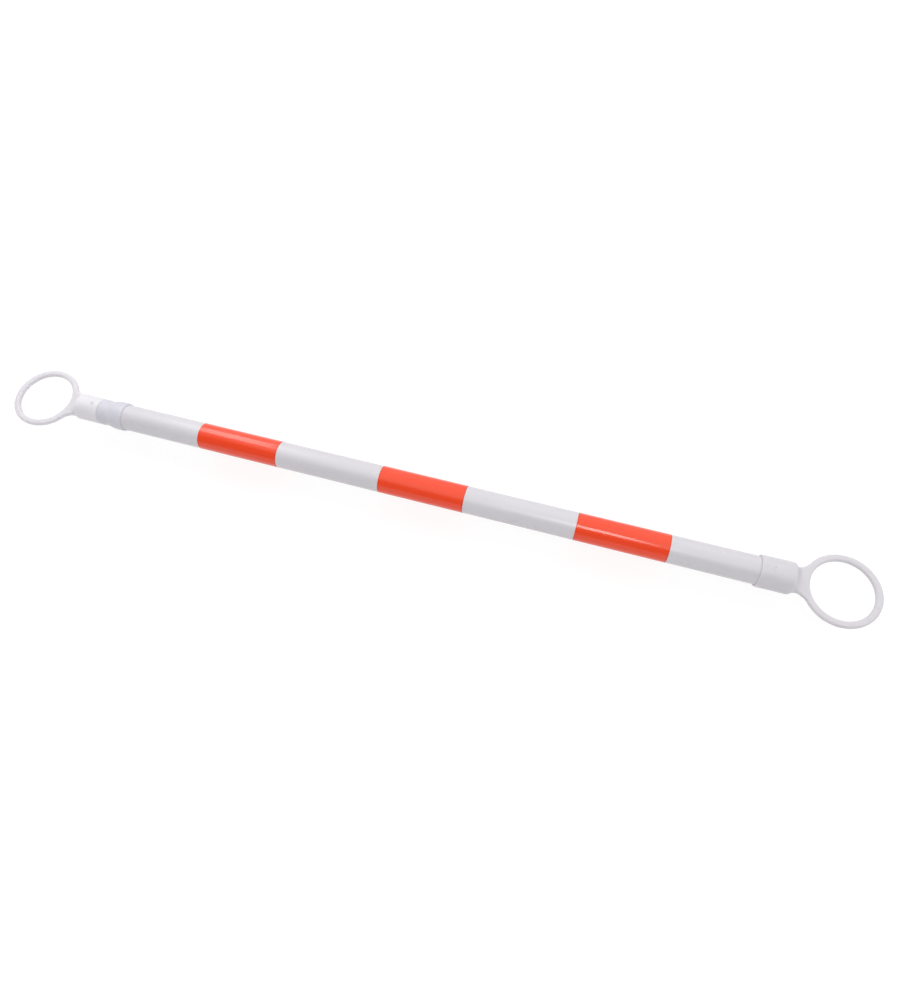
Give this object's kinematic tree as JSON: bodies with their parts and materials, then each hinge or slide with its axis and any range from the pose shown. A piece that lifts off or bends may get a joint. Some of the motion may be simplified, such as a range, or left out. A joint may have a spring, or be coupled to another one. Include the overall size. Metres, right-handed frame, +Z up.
{
  "type": "cone bar",
  "caption": "Telescopic barrier bar in white with red film bands; a ring at each end drops over a traffic cone's top, and the inner tube slides out and turns to set the span.",
  "frame": {"origin": "middle of the closed bar, on the axis of its tubes", "axes": "+X along the bar towards the outer tube's ring end, +Z up, along the axes of both rings"},
  "size_m": [1.2, 0.093, 0.0406],
  "materials": {
    "white_tube": "glossy extruded white plastic",
    "white_moulding": "satin moulded white plastic",
    "red_film": "glossy red reflective film",
    "grey_collar": "soft pale blue-grey plastic, satin",
    "bush_plastic": "grey moulded plastic",
    "friction_rubber": "black rubber",
    "screw_steel": "plain steel"
  },
  "bodies": {
    "outer": {"outer_tube": "white_tube", "outer_band_left": "red_film", "outer_band_middle": "red_film", "outer_band_right": "red_film", "outer_ring_end": "white_moulding", "outer_ring_screws": "screw_steel", "collar": "grey_collar", "mouth_bush": "bush_plastic"},
    "slider": {"friction_bush": "bush_plastic", "friction_rings": "friction_rubber"},
    "inner": {"inner_tube": "white_tube", "inner_band_left": "red_film", "inner_band_middle": "red_film", "inner_band_right": "red_film", "inner_ring_end": "white_moulding", "inner_ring_screws": "screw_steel", "end_plug": "bush_plastic", "bush_retainer": "screw_steel", "retainer_screw": "screw_steel"}
  },
  "joints": [
    {"name": "extend", "type": "slide", "parent": "outer", "child": "slider", "axis": [-1, 0, 0], "range_m": [0, 0.8]},
    {"name": "twist", "type": "hinge", "parent": "slider", "child": "inner", "pos_m": [0, 0, 0], "axis": [1, 0, 0], "continuous": true}
  ]
}
